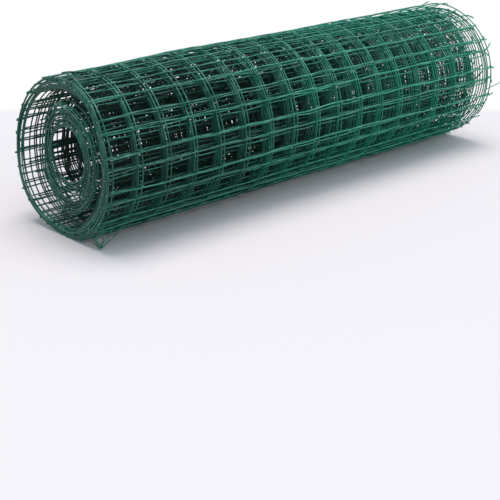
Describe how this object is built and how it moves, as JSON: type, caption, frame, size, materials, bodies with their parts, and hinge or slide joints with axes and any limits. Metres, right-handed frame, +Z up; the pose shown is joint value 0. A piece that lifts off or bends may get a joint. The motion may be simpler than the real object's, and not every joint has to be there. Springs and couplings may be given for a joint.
{
  "type": "roll of welded wire fencing",
  "caption": "Long roll of plastic-coated welded wire mesh lying on its side, wound in a tight open coil inside looser outer turns, with cross wires along it.",
  "frame": {"origin": "middle of the roll's length and width, on the floor it lies on", "axes": "+X along the roll, +Z up, +Y across it, on the side where the outer turns stand away from the coil"},
  "size_m": [0.874, 0.244, 0.2409],
  "materials": {
    "coated_wire": "green plastic coat on steel wire, semi-gloss"
  },
  "bodies": {
    "root": {"wire_mesh_roll": "coated_wire"}
  },
  "joints": []
}
